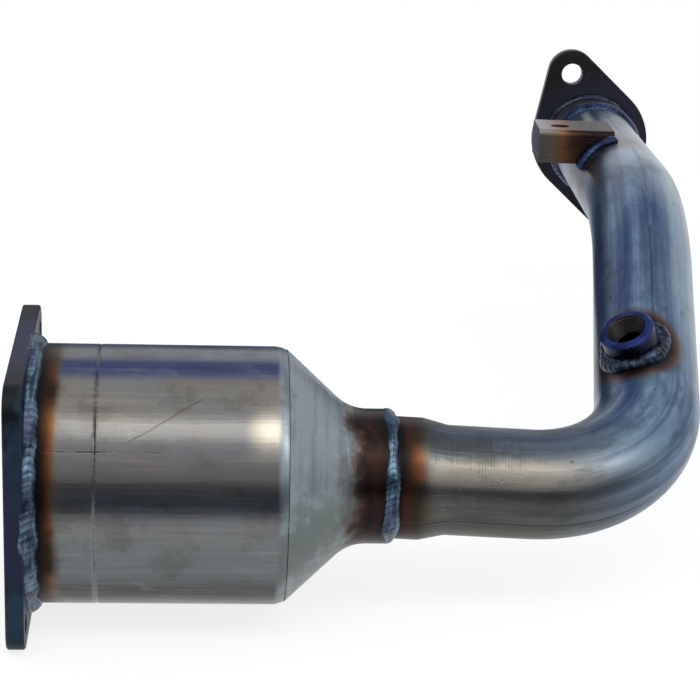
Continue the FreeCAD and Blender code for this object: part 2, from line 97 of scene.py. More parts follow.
class Net:
    """A node tree under construction."""

    def __init__(self, owner: Any, output: str = "ShaderNodeOutputMaterial") -> None:
        """Empty the owner's node tree and give it an output node.

        Args:
            owner: The material or world.
            output: The output node's type name.
        """
        owner.use_nodes = True
        self.tree = owner.node_tree
        self.tree.nodes.clear()
        self.output = self.tree.nodes.new(output)

    def node(
        self,
        kind: str,
        inputs: Optional[Dict[Union[int, str], Any]] = None,
        result: Union[int, str] = 0,
        **settings: Any,
    ) -> Wire:
        """Add a node.

        Args:
            kind: The node's type name.
            inputs: Values or wires of its sockets, by name or number.
            result: The output that is wanted.
            settings: Values of the node's own settings, or a ramp's stops.

        Returns:
            The wanted output.
        """
        made = self.tree.nodes.new(kind)
        for number, (place, colour) in enumerate(settings.pop("stops", ())):
            ramp = made.color_ramp.elements
            element = ramp[number] if number < len(ramp) else ramp.new(1.0)
            element.position = place
            element.color = (*colour, 1.0)
        for key, value in settings.items():
            setattr(made, key, value)
        for key, value in (inputs or {}).items():
            self.feed(made.inputs[key], value)
        return Wire(self, made.outputs[result])

    def feed(self, socket: bpy.types.NodeSocket, value: Any) -> None:
        """Give a socket a wire, a colour, a vector or a number.

        Args:
            socket: The input socket.
            value: What it receives.
        """
        if isinstance(value, Wire):
            self.tree.links.new(value.socket, socket)
        elif socket.type == "RGBA" and len(value) == 3:
            socket.default_value = (*value, 1.0)
        else:
            socket.default_value = value

    def close(self, shader: Wire) -> None:
        """Lead a shader to the output."""
        self.feed(self.output.inputs[0], shader)

    def math(self, operation: str, first: Value, second: Value = 0.0) -> Wire:
        """Return the result of one sum on two values."""
        return self.node("ShaderNodeMath", {0: first, 1: second}, operation=operation)

    def blend(self, mask: Value, first: Any, second: Any) -> Wire:
        """Mix two colours; a mask of 0 gives the first and 1 the second."""
        return self.node("ShaderNodeMix", {0: mask, 6: first, 7: second}, 2, data_type="RGBA")

    def seen(self) -> Wire:
        """Return 1 on rays from the camera and from polished metal."""
        rays = self.node("ShaderNodeLightPath").socket.node.outputs
        return self.math(
            "MAXIMUM", Wire(self, rays["Is Camera Ray"]), Wire(self, rays["Is Glossy Ray"])
        )


class Sheet(Net):
    """One material with its main shader."""

    def __init__(self, name: str, metallic: float = 1.0) -> None:
        """Start a material.

        Args:
            name: The material's name.
            metallic: The constant metallic value of the main shader.
        """
        self.material = bpy.data.materials.new(name)
        super().__init__(self.material)
        main = self.node("ShaderNodeBsdfPrincipled", {"Metallic": metallic})
        self.shader = main.socket.node
        self.close(main)

    def place(self) -> Wire:
        """Return the point's place in the part's frame."""
        return self.node("ShaderNodeTexCoord", result="Object")

    def split(self, vector: Wire) -> Tuple[Wire, ...]:
        """Return the three numbers of a vector."""
        made = self.node("ShaderNodeSeparateXYZ", {0: vector}).socket.node
        return tuple(Wire(self, output) for output in made.outputs)

    def unrolled(self) -> Tuple[Wire, ...]:
        """Return the two numbers of the piece's own unrolled coordinates."""
        return self.split(self.node("ShaderNodeTexCoord", result="UV"))[:2]

    def vector(self, x: Value, y: Value, z: Value) -> Wire:
        """Return the vector of three numbers."""
        return self.node("ShaderNodeCombineXYZ", {0: x, 1: y, 2: z})

    def pair(self, operation: str, first: Wire, second: Any, result: int = 0) -> Wire:
        """Return the result of one sum on two vectors."""
        inputs = {0: first, 1: tuple(second)}
        return self.node("ShaderNodeVectorMath", inputs, result, operation=operation)

    def away(self, point: Wire, centre: Vector) -> Wire:
        """Return a point's distance from a fixed point."""
        return self.pair("DISTANCE", point, centre, 1)

    def along(self, point: Wire, axis: Vector, origin: Vector = Vector((0, 0, 0))) -> Wire:
        """Return how far a point lies along an axis from the origin."""
        return self.pair("DOT_PRODUCT", point, axis, 1) - float(origin.dot(axis))

    def beside(self, point: Wire, axis: Vector, origin: Vector) -> Wire:
        """Return a point's distance from an axis through the origin."""
        lift, span = self.along(point, axis, origin), self.away(point, origin)
        return self.math("SQRT", self.math("MAXIMUM", span * span - lift * lift, 0.0))

    def noise(
        self,
        vector: Wire,
        scale: Union[float, Sequence[float]],
        detail: float = 4.0,
        roughness: float = 0.6,
    ) -> Wire:
        """Return a soft random pattern between 0 and 1.

        Args:
            vector: Where it is read.
            scale: Cells in a unit, the same or one for each axis.
            detail: Octaves.
            roughness: The strength of the finer octaves.

        Returns:
            The pattern.
        """
        if not isinstance(scale, float):
            vector, scale = self.pair("MULTIPLY", vector, scale), 1.0
        inputs = {"Vector": vector, "Scale": scale, "Detail": detail, "Roughness": roughness}
        return self.node("ShaderNodeTexNoise", inputs)

    def step(self, value: Value, low: float, high: float) -> Wire:
        """Return 0 at low and 1 at high with a smooth rise between.

        Args:
            value: The value read.
            low: Where the result is 0.
            high: Where the result is 1; it may be the smaller one.

        Returns:
            The mask.
        """
        ends = (low, high, 0.0, 1.0) if low < high else (high, low, 1.0, 0.0)
        inputs = dict(enumerate((value, *ends)))
        return self.node(
            "ShaderNodeMapRange", inputs, interpolation_type="SMOOTHSTEP", clamp=True
        )

    def band(self, value: Wire, centre: float, half: float, soft: float) -> Wire:
        """Return 1 within a band round a centre, fading over the soft width."""
        return self.step(self.math("ABSOLUTE", value - centre), half + soft, half)

    def paint(self, base: Any, *coats: Tuple[Value, Any]) -> Wire:
        """Lay coats over a colour.

        Args:
            base: The colour below.
            coats: The mask and the colour of each coat, in order.

        Returns:
            The painted colour.
        """
        for mask, colour in coats:
            base = self.blend(mask, base, colour)
        return base

    def tone(self, value: Wire, stops: Sequence[Stop]) -> Wire:
        """Return the colour that a ramp gives for a value between 0 and 1."""
        return self.node("ShaderNodeValToRGB", {0: value}, stops=stops)

    def dress(self, base: Wire, rough: Value, height: Wire, depth: float) -> bpy.types.Material:
        """Finish the material.

        Args:
            base: The base colour.
            rough: The roughness.
            height: The relief, between 0 and 1.
            depth: How deep a relief of 1 is, in metres.

        Returns:
            The material.
        """
        inputs = {"Strength": 1.0, "Distance": depth, "Height": height}
        normal = self.node("ShaderNodeBump", inputs)
        for key, value in (("Base Color", base), ("Roughness", rough), ("Normal", normal)):
            self.feed(self.shader.inputs[key], value)
        return self.material


# ---- finishes
SOOT: Colour = (0.010, 0.009, 0.010)
UMBER: Colour = (0.030, 0.018, 0.013)
RUST: Colour = (0.085, 0.032, 0.015)
ORANGE: Colour = (0.130, 0.060, 0.030)
STRAW: Colour = (0.130, 0.108, 0.078)


@dataclass(frozen=True)
class HeatTint:
    """Temper colours that fade with distance from a weld."""

    reach: float
    stops: Tuple[Stop, ...] = (
        (0.0, SOOT), (0.20, UMBER), (0.36, RUST), (0.52, ORANGE), (0.75, STRAW)
    )
    full: float = 0.50
    torn: float = 0.55

    def lay(self, sheet: Sheet, under: Any, gap: Wire, ragged: Wire) -> Wire:
        """Lay the tint over a colour.

        Args:
            sheet: The material.
            under: The colour below.
            gap: The distance from the weld's toe, in metres.
            ragged: A pattern between 0 and 1 that breaks the tint's edge.

        Returns:
            The tinted colour.
        """
        share = gap / self.reach + (ragged - 0.5) * self.torn
        colour = sheet.tone(share, self.stops)
        return sheet.blend(sheet.step(share, 1.0, self.full), under, colour)


@dataclass(frozen=True)
class CanFinish:
    """Satin stainless sheet of the can, its spun cone and its neck."""

    warm: Colour = (0.200, 0.187, 0.165)
    cool: Colour = (0.150, 0.162, 0.185)
    # low is the colour of the painted reflection on the can's lower side.
    low: Colour = (0.132, 0.156, 0.168)
    # violet is the colour of the painted violet reflection band near the can's top.
    violet: Colour = (0.062, 0.076, 0.165)
    spun: Colour = (0.250, 0.295, 0.330)
    weld_toe: float = 0.0142
    cone_start: float = 0.1165
    neck_weld: float = 0.1645
    rolled_line: float = 0.0375

    def make(self) -> bpy.types.Material:
        """Build the material.

        Returns:
            The material.
        """
        s = Sheet("can_steel")
        place = s.place()
        x, y, z = s.split(place)
        turn = s.math("ARCTAN2", z, 0.0 - y) * (180.0 / math.pi)
        cloud = s.noise(place, (9.0, 22.0, 22.0), 3.0, 0.55)
        drawn = s.noise(place, (14.0, 420.0, 420.0), 3.0)
        rings = s.noise(place, (1500.0, 12.0, 12.0), 2.0)
        broad = s.noise(place, (330.0, 9.0, 9.0), 3.0)
        speck = s.noise(place, 900.0, 2.0, 0.5)
        stain = s.noise(place, 46.0, 5.0, 0.65)
        drip = s.noise(place, (45.0, 60.0, 60.0), 4.0, 0.7)
        on_cone = s.step(x, self.cone_start - 0.0012, self.cone_start + 0.0012)
        wavy = turn + (cloud - 0.5) * 5.0
        # upper masks the band of painted violet reflection near the top.
        upper = s.band(wavy, 75.0, 2.5, 8.0) * s.step(x, 0.012, 0.020)
        # Painted highlight near the can's shoulder, on the side that faces the key lamp.
        painted_highlight = s.band(x, 0.1130, 0.0010, 0.0120)
        painted_highlight = painted_highlight * s.band(turn + (cloud - 0.5) * 8.0, 42.0, 2.0, 14.0)

        # The cone's colour: its spun tone and stains, with painted shade on its lower side.
        cone_tone_and_shade = s.paint(
            self.spun,
            (s.step(turn, 30.0, -10.0), (0.135, 0.160, 0.150)),
            (s.step(broad, 0.42, 0.68) * 0.5, (0.120, 0.140, 0.160)),
            (s.step(stain, 0.48, 0.62) * 0.45, (0.320, 0.370, 0.405)),
            (s.step(stain, 0.44, 0.30) * 0.45, (0.100, 0.105, 0.095)),
        )
        base = s.paint(
            self.warm,
            (s.step(cloud, 0.35, 0.70), self.cool),
            # Painted reflection: greener on the lower side.
            (s.step(wavy, 4.0, -16.0) * 0.85, self.low),
            # Painted reflection: bluer along the top edge.
            (s.step(wavy, 78.0, 96.0) * 0.7, (0.145, 0.175, 0.215)),
            # Painted shade: near-black along the bottom.
            (s.step(wavy, -22.0, -44.0) * 0.92, (0.012, 0.010, 0.003)),
            # Painted shade: a darker band that tones down the key lamp's highlight.
            (s.band(wavy, 42.0, 5.0, 9.0) * 0.60, (0.095, 0.098, 0.102)),
            # Painted reflection: the violet band near the top.
            (upper * 0.95, self.violet),
            # Painted reflection: a faint dark band low on the front.
            (s.band(wavy, 13.5, 5.0, 10.0) * 0.22, (0.060, 0.070, 0.098)),
            (s.step(stain, 0.50, 0.64) * 0.42, (0.088, 0.080, 0.070)),
            (s.step(stain, 0.46, 0.34) * 0.32, (0.175, 0.205, 0.232)),
            # Painted reflection: a brown band just above the dark one.
            (s.band(wavy, 23.0, 4.0, 8.0) * 0.50, (0.098, 0.080, 0.066)),
            (s.step(drip, 0.66, 0.74) * s.step(wavy, 5.0, -12.0) * 0.4, (0.26, 0.27, 0.27)),
            (s.step(drawn, 0.52, 0.75) * 0.20, (0.34, 0.33, 0.31)),
            (s.step(drawn, 0.46, 0.28) * 0.30, (0.085, 0.085, 0.090)),
            # Painted highlight near the shoulder.
            (painted_highlight * 0.55, (0.50, 0.46, 0.39)),
            (on_cone * 0.92, cone_tone_and_shade),
            (s.step(speck, 0.70, 0.76) * 0.5, (0.035, 0.032, 0.030)),
        )

        grit = s.noise(place, (160.0, 420.0, 420.0), 3.0, 0.7)
        rolled = s.band(x + (rings - 0.5) * 0.0004, self.rolled_line, 0.0010, 0.0005)
        seam = s.band(turn + (cloud - 0.5) * 1.2, 32.0, 0.28, 0.22)
        seam = seam * s.step(grit, 0.42, 0.56) * s.step(x, 0.090, 0.040)
        slant = turn - (x - 0.052) * 640.0 - 37.0
        scratch = s.band(slant + (cloud - 0.5) * 14.0, 0.0, 0.25, 0.55)
        scratch = scratch * s.band(x, 0.068, 0.0130, 0.005)
        base = s.paint(
            base,
            (rolled * s.step(grit, 0.36, 0.58) * 0.60, (0.060, 0.062, 0.070)),
            (rolled * s.step(turn, 30.0, -5.0) * 0.40, (0.24, 0.25, 0.25)),
            (seam * 0.70, (0.035, 0.032, 0.030)),
            (scratch * 0.50, (0.070, 0.050, 0.042)),
        )

        ragged = s.noise(place, (120.0, 34.0, 34.0), 5.0, 0.62)
        patchy = s.noise(place, (10.0, 30.0, 30.0), 3.0, 0.55)
        bright = HeatTint(0.0098).lay(s, base, x - self.weld_toe, ragged)
        scale = (
            (0.0, SOOT), (0.25, (0.018, 0.013, 0.012)), (0.55, UMBER),
            (1.0, (0.075, 0.058, 0.045)),
        )
        dull = HeatTint(0.0098, scale).lay(s, base, x - self.weld_toe, ragged)
        base = s.blend(s.step(patchy, 0.40, 0.58), dull, bright)
        brown = HeatTint(
            0.024,
            (
                (0.0, (0.014, 0.011, 0.012)), (0.20, (0.040, 0.018, 0.013)),
                (0.38, (0.018, 0.014, 0.014)), (0.60, (0.050, 0.028, 0.020)),
                (1.0, (0.105, 0.092, 0.075)),
            ),
        )
        blotch = s.noise(place, 70.0)
        torn = ragged * 0.2 + patchy * 0.2 + s.step(blotch, 0.25, 0.75) * 0.6
        base = brown.lay(s, base, self.neck_weld - x, torn)
        smoke = s.step(x, 0.1490, 0.1640) * s.step(blotch, 0.38, 0.58)
        base = s.blend(smoke * 0.6, base, (0.016, 0.012, 0.013))

        relief = drawn * 0.5 + on_cone * broad * 2.6 + on_cone * rings * 0.9 + cloud * 0.6
        relief = relief + stain * 0.9 - scratch * 0.15 - seam * 0.4 + rolled * grit * 0.6
        rough = 0.20 + drawn * 0.08 + cloud * 0.08 + s.step(x, 0.026, 0.012) * 0.2 + on_cone * 0.05
        s.shader.inputs["Anisotropic"].default_value = 0.35
        return s.dress(base, rough, relief, 0.00010)


@dataclass(frozen=True)
class PipeFinish:
    """Drawn stainless tube with a blue cast, read along its own length."""

    blue: Colour = (0.070, 0.118, 0.200)
    pale: Colour = (0.170, 0.255, 0.350)
    deep: Colour = (0.020, 0.030, 0.078)
    plain: Colour = (0.120, 0.120, 0.120)
    # Colour of the painted shade on the level run's lower side.
    painted_under_shade: Colour = (0.070, 0.074, 0.062)
    radius: float = 0.025
    weld_toe: float = 0.0208

    def make(self, boss: Vector, bracket: Vector, end: Vector) -> bpy.types.Material:
        """Build the material.

        Args:
            boss: The foot of the sensor boss.
            bracket: The middle of the bracket's front bead.
            end: The pipe's end.

        Returns:
            The material.
        """
        s = Sheet("pipe_steel")
        place = s.place()
        u, v = s.unrolled()
        swing = u * FULL_TURN
        sine = s.math("SINE", swing)
        straight = s.vector(s.math("COSINE", swing) * self.radius, sine * self.radius, v)
        streak = s.noise(straight, (170.0, 170.0, 7.0), 5.0, 0.62)
        fine = s.noise(straight, (900.0, 900.0, 16.0), 3.0)
        patch = s.noise(straight, (34.0, 34.0, 17.0), 4.0, 0.58)
        cloud = s.noise(straight, (70.0, 70.0, 60.0))
        rings = s.noise(straight, (14.0, 14.0, 720.0), 2.0, 0.55)
        pit = s.noise(straight, (260.0, 260.0, 190.0), 2.0, 0.5)
        smudge = s.noise(straight, (60.0, 60.0, 30.0), 5.0, 0.68)
        first_run = s.step(v, 0.024, 0.036) * s.step(v, 0.115, 0.080)
        shade = s.band(u, 0.385, 0.075, 0.085) * s.step(v, 0.150, 0.190)
        lit = s.band(u, 0.060, 0.040, 0.080) * s.step(v, 0.160, 0.220)

        blue = s.paint(
            self.blue,
            (s.step(streak, 0.38, 0.66), self.pale),
            (s.step(smudge, 0.46, 0.62) * 0.55, (0.040, 0.066, 0.125)),
            (s.step(smudge, 0.44, 0.32) * 0.45, (0.225, 0.310, 0.400)),
            (s.step(patch, 0.52, 0.70) * 0.75, self.deep),
            (shade * s.step(patch, 0.30, 0.56) * 0.45, (0.034, 0.050, 0.098)),
            (lit * s.step(patch, 0.66, 0.44) * 0.55, (0.235, 0.310, 0.385)),
        )
        level = s.paint(
            self.plain,
            (s.step(streak, 0.36, 0.68), (0.185, 0.175, 0.160)),
            # Painted shade: the lower side darker.
            (s.step(sine, 0.10, -0.45) * 0.85, self.painted_under_shade),
            # Painted reflection: the top edge bluer.
            (s.step(sine, 0.62, 0.90) * 0.80, (0.070, 0.098, 0.140)),
            # Painted highlight: a light row along the first run.
            (s.band(sine, 0.46, 0.14, 0.14) * first_run * 0.75, (0.270, 0.250, 0.215)),
            # Painted reflection: a dark band along the middle of the side.
            (s.band(sine, 0.02, 0.16, 0.16) * 0.55, (0.050, 0.046, 0.046)),
            (s.step(patch, 0.48, 0.70) * 0.6, (0.050, 0.052, 0.062)),
            (s.step(smudge, 0.46, 0.62) * 0.55, (0.048, 0.052, 0.042)),
            (s.step(smudge, 0.40, 0.30) * 0.35, (0.180, 0.185, 0.175)),
        )
        level_line = s.band(u + (cloud - 0.5) * 0.006, 0.933, 0.0022, 0.0028)
        rising_line = s.band(u + (cloud - 0.5) * 0.006, 0.190, 0.0030, 0.0034)
        line = level_line * s.step(v, 0.150, 0.100) + rising_line * s.step(v, 0.175, 0.200)
        line = line * s.step(cloud, 0.30, 0.50)
        base = s.paint(
            level,
            (s.step(v, 0.080, 0.150), blue),
            (s.step(fine, 0.56, 0.74) * 0.25, (0.30, 0.35, 0.40)),
            (s.step(pit, 0.72, 0.77) * 0.50, (0.015, 0.018, 0.035)),
            (line * 0.60, (0.022, 0.026, 0.042)),
        )

        ragged = s.noise(straight, (60.0, 60.0, 120.0), 5.0, 0.62)
        torn = ragged * 0.6 + patch * 0.4
        toe = v - self.weld_toe
        bright = HeatTint(0.0150).lay(s, base, toe, torn)
        scale = (
            (0.0, SOOT), (0.16, (0.044, 0.018, 0.012)), (0.42, (0.034, 0.024, 0.018)),
            (1.0, (0.070, 0.066, 0.046)),
        )
        dull = HeatTint(0.0170, scale).lay(s, base, toe, torn)
        base = s.blend(s.band(u + (cloud - 0.5) * 0.08, 0.105, 0.030, 0.045), dull, bright)
        halo = (
            (0.0, SOOT), (0.30, (0.020, 0.016, 0.020)), (0.60, (0.085, 0.050, 0.036)),
            (1.0, (0.066, 0.054, 0.056)),
        )
        scorch = (
            (0.0, (0.018, 0.020, 0.042)), (0.35, (0.035, 0.034, 0.070)),
            (0.65, (0.085, 0.044, 0.027)), (1.0, (0.095, 0.100, 0.115)),
        )
        torn = ragged * 0.5 + smudge * 0.5
        base = HeatTint(0.0125, halo, 0.45).lay(s, base, s.away(place, boss) - 0.0155, torn)
        torn = ragged * 0.5 + patch * 0.5
        base = HeatTint(0.019, scorch, 0.40).lay(s, base, s.away(place, bracket) - 0.013, torn)

        night = s.step(s.away(place, end), 0.085, 0.035)
        loose = v + (rings - 0.5) * 0.0016
        comb = s.math("SINE", loose * (FULL_TURN / 0.00130)) * s.step(smudge, 0.36, 0.56)
        upper = first_run * s.step(sine, 0.10, 0.40) * s.step(v, 0.098, 0.070)
        base = s.paint(
            base,
            (night * s.step(patch, 0.30, 0.62) * 0.8, (0.045, 0.050, 0.120)),
            (upper * s.step(comb, 0.1, 0.8) * 0.38, (0.045, 0.050, 0.060)),
        )
        relief = streak * 0.6 + fine * 0.2 + patch * 1.2 + smudge * 1.4
        relief = relief + upper * comb * 0.10 + first_run * rings * 0.4
        relief = relief - line * 1.0 - s.step(pit, 0.70, 0.76) * 0.8
        rough = 0.15 + fine * 0.08 + patch * 0.14 + smudge * 0.06 + s.step(v, 0.16, 0.09) * 0.09
        return s.dress(base, rough, relief, 0.00016)


@dataclass(frozen=True)
class PlateFinish:
    """Dark oxidised plate with a blue and violet sheen near its weld."""

    name: str
    dark: Colour
    sheen: Colour
    glow: Colour
    centre: Vector
    axis: Vector
    ring: float
    reach: float

    def make(self) -> bpy.types.Material:
        """Build the material.

        Returns:
            The material.
        """
        s = Sheet(self.name, 0.85)
        place = s.place()
        cloud = s.noise(place, 38.0, 5.0, 0.62)
        grain = s.noise(place, 620.0, 4.0, 0.65)
        drag = s.noise(place, (60.0, 900.0, 60.0), 3.0)
        flat = s.beside(place, self.axis, self.centre)
        near = s.step(flat + (cloud - 0.5) * 0.008, self.ring + self.reach, self.ring)
        base = s.paint(
            self.dark,
            (s.step(cloud, 0.46, 0.64), self.sheen),
            (s.step(drag, 0.58, 0.74) * 0.25, (0.060, 0.080, 0.110)),
            (near * 0.8, self.glow),
            (s.step(grain, 0.62, 0.74) * 0.35, (0.040, 0.032, 0.026)),
        )
        rough = 0.34 + grain * 0.18 + cloud * 0.12
        return s.dress(base, rough, grain * 0.7 + cloud * 1.6 + drag * 0.4, 0.00020)


class BeadTone(Enum):
    """How a weld bead has coloured as it cooled: dark, light and tint."""

    SILVER = ((0.022, 0.034, 0.056), (0.130, 0.205, 0.280), (0.045, 0.042, 0.085))
    STEEL = ((0.008, 0.010, 0.020), (0.050, 0.070, 0.110), (0.018, 0.018, 0.046))
    NAVY = ((0.010, 0.014, 0.036), (0.038, 0.066, 0.135), (0.036, 0.030, 0.085))


@dataclass(frozen=True)
class BeadFinish:
    """Rippled weld metal; its unrolled coordinates count the ripples."""

    tone: BeadTone

    def make(self) -> bpy.types.Material:
        """Build the material.

        Returns:
            The material.
        """
        dark, light, tint = self.tone.value
        s = Sheet("weld_metal_" + self.tone.name.lower())
        place = s.place()
        u, v = s.unrolled()
        edge = s.band(s.math("FRACT", u), 0.5, 0.28, 0.22) * 0.45 + 0.55
        cloud = s.noise(place, 120.0)
        broad = s.noise(place, 34.0, 3.0)
        grain = s.noise(place, 1500.0, 3.0)
        smear = s.noise(s.vector(u * 0.22, v * 9.0, 0.0), 1.0, 3.0)
        base = s.paint(
            dark,
            (edge * s.step(smear * 0.6 + cloud * 0.4, 0.40, 0.60), light),
            (s.step(broad, 0.50, 0.66) * 0.7, tint),
            (s.step(broad, 0.44, 0.28) * 0.75, dark),
            # Painted glints: small pale specks.
            (s.step(grain, 0.62, 0.72) * 0.30, (0.26, 0.29, 0.32)),
        )
        relief = edge * 0.5 + grain * 0.25 + cloud * 1.0 + smear * 1.4
        return s.dress(base, 0.24 + cloud * 0.20, relief, 0.00022)


@dataclass(frozen=True)
class BossFinish:
    """Turned steel, tinted deep blue and violet at its mouth."""

    foot: Vector
    axis: Vector

    def make(self) -> bpy.types.Material:
        """Build the material.

        Returns:
            The material.
        """
        s = Sheet("boss_steel")
        place = s.place()
        cloud = s.noise(place, 110.0)
        broad = s.noise(place, 42.0, 2.0, 0.5)
        grain = s.noise(place, 1200.0, 3.0)
        lift = s.along(place, self.axis, self.foot)
        bore = s.step(s.beside(place, self.axis, self.foot), 0.0098, 0.0090)
        base = s.paint(
            (0.007, 0.011, 0.050),
            (s.step(cloud, 0.36, 0.64), (0.018, 0.034, 0.140)),
            (s.step(broad, 0.52, 0.66) * 0.6, (0.044, 0.030, 0.135)),
            (s.step(lift, 0.0094, 0.0060) * 0.92, (0.012, 0.013, 0.022)),
            (s.step(grain, 0.60, 0.70) * 0.20, (0.10, 0.13, 0.26)),
            (bore, (0.022, 0.020, 0.022)),
        )
        return s.dress(base, 0.28 + cloud * 0.20, cloud * 0.8 + grain * 0.3, 0.00014)


@dataclass(frozen=True)
class BracketFinish:
    """Sawn steel block, browned towards its welds, with painted light on top and painted shade on
    its end.
    """

    out: Vector
    up: Vector
    origin: Vector
    reach: float
    inner: float

    def make(self) -> bpy.types.Material:
        """Build the material.

        Returns:
            The material.
        """
        s = Sheet("bracket_steel")
        place = s.place()
        normal = s.node("ShaderNodeNewGeometry", result="Normal")
        cloud = s.noise(place, 90.0)
        drag = s.noise(place, (90.0, 1260.0, 1260.0), 4.0, 0.62)
        grain = s.noise(place, 900.0, 3.0)
        out = s.along(place, self.out, self.origin)
        share = (out - self.inner) / (self.reach - self.inner) + (cloud - 0.5) * 0.30
        # The top face's heat colours are a lighter copy of the front's: painted light.
        top = (
            (0.0, (0.016, 0.012, 0.012)), (0.30, (0.045, 0.022, 0.014)),
            (0.46, (0.21, 0.085, 0.032)), (0.66, (0.22, 0.165, 0.135)),
            (0.90, (0.27, 0.265, 0.275)),
        )
        front = (
            (0.0, (0.018, 0.012, 0.012)), (0.25, (0.050, 0.026, 0.018)),
            (0.48, (0.140, 0.066, 0.034)), (0.70, (0.115, 0.088, 0.072)),
            (0.95, (0.085, 0.084, 0.082)),
        )
        base = s.paint(
            s.tone(share, front),
            # Painted light: faces that point up take the lighter copy.
            (s.step(s.along(normal, self.up), 0.45, 0.80), s.tone(share, top)),
            # Painted shade: the outward end face darkened.
            (s.step(s.along(normal, self.out), 0.55, 0.85), (0.034, 0.042, 0.062)),
            (s.step(drag, 0.58, 0.76) * 0.20, (0.22, 0.22, 0.22)),
            (s.step(grain, 0.60, 0.72) * 0.30, (0.045, 0.036, 0.032)),
        )
        relief = drag * 0.8 + cloud * 1.0 + grain * 0.3
        return s.dress(base, 0.30 + cloud * 0.22, relief, 0.00018)


@dataclass(frozen=True)
class CeramicFinish:
    """Matt coated ceramic of the brick, or the pressed fibre round it."""

    name: str
    light: Colour
    dark: Colour
    grain: float
    fibres: bool = False
    mouths: Optional[Tuple[float, float, float, float]] = None

    def make(self) -> bpy.types.Material:
        """Build the material.

        Returns:
            The material.
        """
        s = Sheet(self.name, 0.0)
        place = s.place()
        cloud = s.noise(place, 30.0)
        if self.fibres:
            grit = s.noise(place, (self.grain, self.grain * 4.0, self.grain * 4.0), 5.0, 0.75)
        else:
            grit = s.noise(place, self.grain, 4.0, 0.7)
        base = s.blend(s.step(cloud * 0.6 + grit * 0.4, 0.35, 0.65), self.light, self.dark)
        if self.mouths:
            first, last, depth, inside = self.mouths
            x, y, z = s.split(place)
            off = s.math("SQRT", y * y + z * z)
            sunk = s.math("MINIMUM", x - first, last - x)
            # Painted shade: the channel walls darken with depth, and the recessed floor behind them
            # is near-black.
            painted_channel_shade = s.step(sunk, 0.0, depth) * s.step(off, inside + 0.0001, inside - 0.0001)
            base = s.blend(painted_channel_shade * 0.96, base, (0.012, 0.010, 0.008))
        return s.dress(base, 0.86 + grit * 0.10, grit, 0.00025)


# ---- modelling tools
def only(obj: bpy.types.Object) -> None:
    """Make one object the only selected and active one.

    Args:
        obj: The object.
    """
    bpy.ops.object.select_all(action="DESELECT")
    obj.select_set(True)
    bpy.context.view_layer.objects.active = obj


def added(operator: Callable[..., Any], **settings: Any) -> bpy.types.Object:
    """Run an operator that adds an object.

    Args:
        operator: The operator.
        settings: What it is given.

    Returns:
        The new object.
    """
    bpy.ops.object.select_all(action="DESELECT")
    operator(**settings)
    return bpy.context.active_object


def smooth(obj: bpy.types.Object, degrees: float) -> None:
    """Shade an object smooth but for edges sharper than an angle."""
    only(obj)
    bpy.ops.object.shade_smooth_by_angle(angle=math.radians(degrees))


def apply_place(obj: bpy.types.Object) -> None:
    """Put an object's place, turn and scale into its mesh."""
    only(obj)
    bpy.ops.object.transform_apply(location=True, rotation=True, scale=True)


def tidy_shell(obj: bpy.types.Object, merge: float = 1e-6) -> None:
    """Merge doubled points and turn every face outwards.

    Args:
        obj: The mesh object.
        merge: The distance below which points are merged.
    """
    only(obj)
    bpy.ops.object.mode_set(mode="EDIT")
    bpy.ops.mesh.select_all(action="SELECT")
    bpy.ops.mesh.remove_doubles(threshold=merge)
    bpy.ops.mesh.normals_make_consistent(inside=False)
    bpy.ops.object.mode_set(mode="OBJECT")


def hand_over(
    obj: bpy.types.Object, name: str, material: bpy.types.Material, solid: str
) -> None:
    """Name and dress a finished piece, and show it in place of its solid.

    Args:
        obj: The piece.
        name: Its name.
        material: Its only material.
        solid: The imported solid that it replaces.
    """
    apply_place(obj)
    obj.name = obj.data.name = name
    obj.data.materials.clear()
    obj.data.materials.append(material)
    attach(obj, BODY)
    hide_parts(solid)
    LOG.info("%s: %d faces", name, len(obj.data.polygons))


def wrapped(
    steps: int,
    sides: int,
    shape: Callable[[float, float], Vector],
    chart: Callable[[float, float], Tuple[float, float]] = lambda a, b: (a, b),
) -> bpy.types.Object:
    """Wrap a grid into a tube-like body.

    Args:
        steps: Cells for the first share.
        sides: Cells for the second share.
        shape: Gives the point for two shares between 0 and 1.
        chart: Gives the unrolled coordinates for the same shares.

    Returns:
        The wrapped object.
    """
    grid = bpy.ops.mesh.primitive_grid_add
    obj = added(grid, x_subdivisions=steps, y_subdivisions=sides, size=1.0, calc_uvs=True)
    for corner in obj.data.uv_layers.active.data:
        corner.uv = chart(*corner.uv)
    for vertex in obj.data.vertices:
        vertex.co = shape(vertex.co.x + 0.5, vertex.co.y + 0.5)
    tidy_shell(obj)
    only(obj)
    bpy.ops.object.shade_smooth()
    return obj


# ---- route
@dataclass(frozen=True)
class Leg:
    """One straight run or one arc of the pipe's axis."""

    length: float
    start: Vector
    frame: Matrix
    axis: Optional[Vector] = None
    radius: float = 0.0

    def locate(self, distance: float) -> Tuple[Vector, Matrix]:
        """Return the axis point and its frame at a distance from the leg's start.

        Args:
            distance: The length from the leg's start.

        Returns:
            The point, and a frame whose columns are forward, aside and over.
        """
        forward = self.frame.col[0]
        if self.axis is None:
            return self.start + forward * distance, self.frame
        centre = self.start + self.axis.cross(forward) * self.radius
        turn = Matrix.Rotation(distance / self.radius, 3, self.axis)
        return centre + turn @ (self.start - centre), turn @ self.frame


